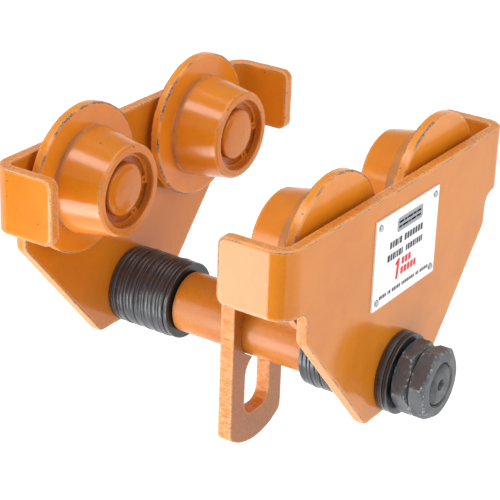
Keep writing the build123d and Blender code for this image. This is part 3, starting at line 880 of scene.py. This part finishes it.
def nut_profile(local):
    """(x, r, wear) from face to face at an angle from the middle of a flat: chamfered at 30 degrees."""
    radius = NUT_FLATS / 2 / math.cos(local)
    corner_radius = NUT_FLATS / 2 / math.cos(math.pi / 6)
    radius -= 0.45 * max(0.0, 1 - (corner_radius - radius) / 0.9) ** 2
    slope = max(0.15, (radius - NUT_FACE_RADIUS) * math.tan(math.radians(30)))
    on_corner = 0.9 if abs(local + math.pi / 6) < 1e-6 else 0.0
    half = [
        (1.2, NUT_BORE_RADIUS, 0.0),
        (0.0, NUT_MOUTH_RADIUS, 0.0),
        (0.0, NUT_FACE_RADIUS - 0.3, 0.0),
        (0.06, NUT_FACE_RADIUS, 0.35),
        (slope - NUT_EDGE * 0.5, radius - NUT_EDGE, 0.9),
        (slope + NUT_EDGE, radius, 0.9),
        (slope + NUT_EDGE + 1.2, radius, on_corner),
    ]
    return half + [(NUT_HEIGHT - x, r, worn) for x, r, worn in reversed(half)]


def nut_mesh(name, side, start, turn):
    """Thin hexagon nut, double chamfered, with softened corners."""
    count = 6 * NUT_SIDE_STEPS
    bm = bmesh.new()
    wear = wear_layer(bm)
    columns = []
    for k in range(count):
        angle = math.radians(turn) + 2 * math.pi * k / count
        local = (k % NUT_SIDE_STEPS) / NUT_SIDE_STEPS * math.pi / 3 - math.pi / 6
        column = []
        for x, r, worn in nut_profile(local):
            spot = ((start + x) * MM, r * math.cos(angle) * MM, SHAFT_Z + r * math.sin(angle) * MM)
            vert = bm.verts.new(spot)
            vert[wear] = worn
            column.append(vert)
        columns.append(column)
    for k in range(count):
        here, there = columns[k], columns[(k + 1) % count]
        for row in range(len(here)):
            after = (row + 1) % len(here)
            bm.faces.new((here[row], here[after], there[after], there[row]))
    if side < 0:
        bmesh.ops.scale(bm, vec=(-1, 1, 1), verts=bm.verts)
    return to_mesh(name, bm, 24)


for side_name, side in SIDES.items():
    stacks = (("inner", SHAFT_SHOULDER, INNER_PATTERN), ("outer", PLATE_OUTER / MM, OUTER_PATTERN))
    for place, start, pattern in stacks:
        name = f"{side_name}_{place}_washer_rings"
        mesh = washer_stack(name, side, start, pattern, 40 + 2 * side + len(pattern))
        new_object(name, mesh, "carriage", [f"{side_name}_{place}_washers"], ["washer"])
    for place, back in (("inner", 2), ("outer", 1)):
        name = f"{side_name}_{place}_nut_body"
        mesh = nut_mesh(name, side, SHAFT_HALF - back * NUT_HEIGHT, NUT_TURNS[side_name, place])
        new_object(name, mesh, "carriage", [f"{side_name}_{place}_nut"], ["nut"])


# ------------------------------------------------------------------ shaft
SHAFT_RADIUS, THREAD_RADIUS, THREAD_CORE_RADIUS = 20.0, 13.5, 12.1
SHOULDER_CHAMFER, SHOULDER_FACE_RADIUS = 1.5, 18.6
THREAD_START, THREAD_END, THREAD_STEP = 98.5, 133.0, 3.4
DRILL_RADIUS, DRILL_CONE_RADIUS = 1.7, 3.6
PAINT, STEEL = 0, 1


def shaft_mesh(name):
    """Thick painted middle with steel shanks, threads and centre-drilled ends."""
    half = [
        (SHAFT_SHOULDER - SHOULDER_CHAMFER, SHAFT_RADIUS, STEEL),
        (SHAFT_SHOULDER, SHOULDER_FACE_RADIUS, STEEL),
        (SHAFT_SHOULDER, THREAD_RADIUS, STEEL),
    ]
    x = THREAD_START
    while x + 3.0 < THREAD_END:
        for along, radius in ((0, THREAD_RADIUS), (1.5, THREAD_CORE_RADIUS), (3.0, THREAD_RADIUS)):
            half.append((x + along, radius, STEEL))
        x += THREAD_STEP
    half += [
        (SHAFT_HALF - 1.8, THREAD_RADIUS, STEEL),
        (SHAFT_HALF - 0.4, 12.2, STEEL),
        (SHAFT_HALF, 11.4, STEEL),
        (SHAFT_HALF, DRILL_CONE_RADIUS, STEEL),
        (SHAFT_HALF - 3.2, DRILL_RADIUS, STEEL),
        (SHAFT_HALF - 7.0, DRILL_RADIUS, STEEL),
        (SHAFT_HALF - 8.0, 0, STEEL),
    ]
    left = [(-x, r, zone) for x, r, zone in reversed(half)]
    left[-1] = left[-1][:2] + (PAINT,)
    reach = SHAFT_SHOULDER - SHOULDER_CHAMFER
    middle = [(-reach + 2 * reach * k / 24, SHAFT_RADIUS, PAINT) for k in range(1, 24)]
    points = [point + (0.0,) for point in left + middle + half]
    bm = bmesh.new()
    turned(bm, points, 128, closed=False, place=Matrix.Translation((0, 0, SHAFT_Z)))
    return to_mesh(name, bm, 32)


new_object("shaft_body", shaft_mesh("shaft_body"), "carriage", ["suspension_shaft"],
           ["shaft", "steel_end"])


# ------------------------------------------------------------------ nameplate print: plain bars, no lettering
PRINT_DEPTH = 0.05


def bars(name, rows, material):
    """Flat printed bars (y, z, width, height, slant) about the nameplate's middle, as thin rounded slabs."""
    bm = bmesh.new()
    face_x = name_high.x / MM
    middle_y = (name_low.y + name_high.y) / 2 / MM
    middle_z = (name_low.z + name_high.z) / 2 / MM
    for y, z, width, height, slant in rows:
        rounding = min(width, height) * 0.22
        corners = [(u * width / 2, v * height / 2, rounding) for u, v in ((-1, -1), (1, -1), (1, 1), (-1, 1))]
        low, high = [], []
        for p in round_corners(corners, 0.5):
            place = (middle_y + y + p.x + slant * p.y, middle_z + z + p.y)
            low.append(bm.verts.new(((face_x - PRINT_DEPTH) * MM, place[0] * MM, place[1] * MM)))
            high.append(bm.verts.new(((face_x + PRINT_DEPTH) * MM, place[0] * MM, place[1] * MM)))
        bm.faces.new(high)
        bm.faces.new(list(reversed(low)))
        for k in range(len(low)):
            n = (k + 1) % len(low)
            bm.faces.new((low[k], low[n], high[n], high[k]))
    bmesh.ops.recalc_face_normals(bm, faces=bm.faces)
    mesh = bpy.data.meshes.new(name)
    bm.to_mesh(mesh)
    bm.free()
    new_object(name, mesh, "carriage", materials=[material])


def word(start, z, widths, height, gap, slant=0.0):
    """A row of bars of the given widths, from start along +Y."""
    rows = []
    y = start
    for width in widths:
        rows.append((y + width / 2, z, width, height, slant))
        y += width + gap
    return rows


heading = [(2.5, 18.5, 30.0, 9.0, 0.0)]
heading_lines = (word(-10.6, 20.0, (5.4, 2.6, 6.2, 3.2, 4.8), 1.3, 0.9)
                 + word(-10.6, 17.0, (3.2, 6.4, 2.4, 5.2, 4.9), 1.3, 0.9))
text = (word(-20.0, 8.2, (2.4, 2.0, 2.8, 1.0, 2.6), 4.4, 0.8)
        + word(-3.0, 8.2, (2.4,) * 7, 4.4, 0.8)
        + word(-22.0, 0.4, (2.8, 2.0, 2.2, 1.2, 1.6, 2.4, 1.4), 4.4, 0.7)
        + word(-0.5, 0.4, (1.6, 2.2, 2.4, 2.2, 1.0, 2.0, 2.0, 1.4), 4.0, 0.7))
figure = [(-9.0, -10.0, 2.8, 13.0, 0.12), (-10.6, -5.9, 2.2, 2.2, 0.4)]
figure_words = (word(-4.5, -6.6, (3.0, 3.2, 3.0), 4.6, 0.8)
                + word(-5.2, -12.8, (3.0, 3.2, 3.0, 3.0, 2.8), 4.6, 0.8))
small_text = (word(-29.0, -22.0, (2.0, 1.4, 1.6, 1.5), 2.4, 0.5)
              + word(-19.0, -22.0, (0.8, 1.8), 2.4, 0.5)
              + word(-14.0, -22.0, (1.6, 1.8, 0.8, 1.8, 1.6), 2.4, 0.5)
              + word(-2.5, -22.0, (1.4, 1.6, 1.4, 1.8, 0.8, 1.5, 1.6, 1.4), 2.2, 0.5)
              + word(14.5, -22.0, (1.4, 1.4), 2.2, 0.5)
              + word(19.5, -22.0, (1.8, 1.6, 0.8, 1.6, 1.4), 2.2, 0.5))
bars("label_heading_block", heading, ink("ink_grey", rgb(0.33, 0.35, 0.38)))
bars("label_heading_lines", heading_lines, ink("ink_pale", rgb(0.62, 0.64, 0.66)))
bars("label_text_bars", text, ink("ink_black", rgb(0.006, 0.006, 0.007)))
bars("label_red_bars", figure + figure_words, ink("ink_red", rgb(0.75, 0.006, 0.006)))
bars("label_small_bars", small_text, ink("ink_small", rgb(0.012, 0.012, 0.014)))


# ------------------------------------------------------------------ carried-over nodes get their materials
FINISH = {
    "nameplate_rivets": "rivet",
    "nameplate": "label",
    # The bearing's shields and races get the bore enamel, darkened as painted shade.
    "bearing_shields": "bore",
    "bearing_outer_race": "bore",
    "bearing_inner_race": "bore",
    "snap_ring": "ring",
    "axle_spacer": "steel",
    "bearing": "bearing",
}
for node_name, node in NODES.items():
    if node.hide_render:
        continue
    for ending, key in FINISH.items():
        if ending in node_name:
            node.data.materials.clear()
            node.data.materials.append(MAT[key])
            break


# ------------------------------------------------------------------ camera, floor and lights
def aim(obj, location, back, up):
    """Put an object at a place, looking along -back."""
    back = Vector(back).normalized()
    right = Vector(up).cross(back).normalized()
    turn = Matrix((right, back.cross(right), back)).transposed().to_4x4()
    obj.matrix_world = Matrix.Translation(location) @ turn


camera = bpy.data.objects.new("camera", bpy.data.cameras.new("camera"))
bpy.context.scene.collection.objects.link(camera)
camera.data.sensor_width = 36
camera.data.lens = 126.8
camera.data.clip_start = 0.05
camera.data.clip_end = 120
aim(camera, location=(0.5416, -0.8368, 0.4413), back=(0.4968, -0.7618, 0.4158), up=(-0.2569, 0.3285, 0.9089))
bpy.context.scene.camera = camera

FLOOR_Z = -0.55
FLOOR_REACH = 60
CARD_Y, CARD_TOP = -0.80, -0.14
CARD_LEFT, CARD_RIGHT = -1.0, 1.1


def flat_sheet(name, corners, material):
    """One staged rectangle that isn't part of the object."""
    mesh = bpy.data.meshes.new(name)
    mesh.from_pydata(corners, [], [(0, 1, 2, 3)])
    mesh.materials.append(material)
    sheet = bpy.data.objects.new(name, mesh)
    bpy.context.scene.collection.objects.link(sheet)
    return sheet


def make_floor():
    g = Graph("floor_paper")
    g.set("Base Color", rgb(0.8, 0.8, 0.8))
    g.set("Roughness", 0.9)
    g.set("Emission Color", rgb(1, 1, 1))
    g.set("Emission Strength", 0.70)
    r = FLOOR_REACH
    flat_sheet("floor", [(-r, -r, FLOOR_Z), (r, -r, FLOOR_Z), (r, r, FLOOR_Z), (-r, r, FLOOR_Z)], g.mat)


def make_flag():
    """Dark card standing in front, seen in reflections only, where it holds back the bright floor."""
    g = Graph("flag_cloth")
    g.set("Base Color", rgb(0.05, 0.05, 0.05))
    g.set("Roughness", 0.95)
    corners = [(CARD_LEFT, CARD_Y, FLOOR_Z), (CARD_RIGHT, CARD_Y, FLOOR_Z),
               (CARD_RIGHT, CARD_Y, CARD_TOP), (CARD_LEFT, CARD_Y, CARD_TOP)]
    card = flat_sheet("flag_card", corners, g.mat)
    card.visible_camera = False
    card.visible_diffuse = False
    card.visible_shadow = False


def make_world():
    """White studio walls: full strength up to 7 degrees above the horizon, dimmer from 27 degrees up."""
    world = bpy.data.worlds.new("studio")
    bpy.context.scene.world = world
    world.use_nodes = True
    tree = world.node_tree
    background = tree.nodes["Background"]
    coord = tree.nodes.new("ShaderNodeTexCoord")
    split = tree.nodes.new("ShaderNodeSeparateXYZ")
    ramp = tree.nodes.new("ShaderNodeMapRange")
    tree.links.new(coord.outputs["Generated"], split.inputs[0])
    tree.links.new(split.outputs["Z"], ramp.inputs["Value"])
    for key, number in (("From Min", 0.12), ("From Max", 0.45), ("To Min", 1.0), ("To Max", 0.36)):
        ramp.inputs[key].default_value = number
    tree.links.new(ramp.outputs["Result"], background.inputs["Strength"])
    background.inputs["Color"].default_value = rgb(1, 1, 1)


def softbox(name, location, width, height, radiance, target=(0, 0, 0)):
    """Area light of a given radiance, facing the object."""
    lamp = bpy.data.lights.new(name, "AREA")
    lamp.shape = "RECTANGLE"
    lamp.size = width
    lamp.size_y = height
    lamp.energy = radiance * math.pi * width * height
    lamp.normalize = True
    made = bpy.data.objects.new(name, lamp)
    bpy.context.scene.collection.objects.link(made)
    aim(made, location, Vector(location) - Vector(target), (0, 0, 1))
    made.visible_camera = False


make_floor()
make_flag()
make_world()
softbox("low_front", (-0.205, -0.47, -0.26), 0.21, 0.34, 6.8, target=(0.0, -0.12, 0.0))
softbox("overhead", (-0.36, -0.52, 0.95), 0.65, 0.30, 6.2)
softbox("left_front", (-0.66, -0.86, 0.12), 0.30, 0.46, 4.2)
softbox("right_side", (0.85, -0.10, 0.52), 0.55, 0.50, 2.5)
softbox("top", (0.15, 0.15, 1.3), 1.0, 0.9, 1.8)

bpy.context.scene.view_settings.view_transform = "Standard"
bpy.context.scene.view_settings.look = "None"
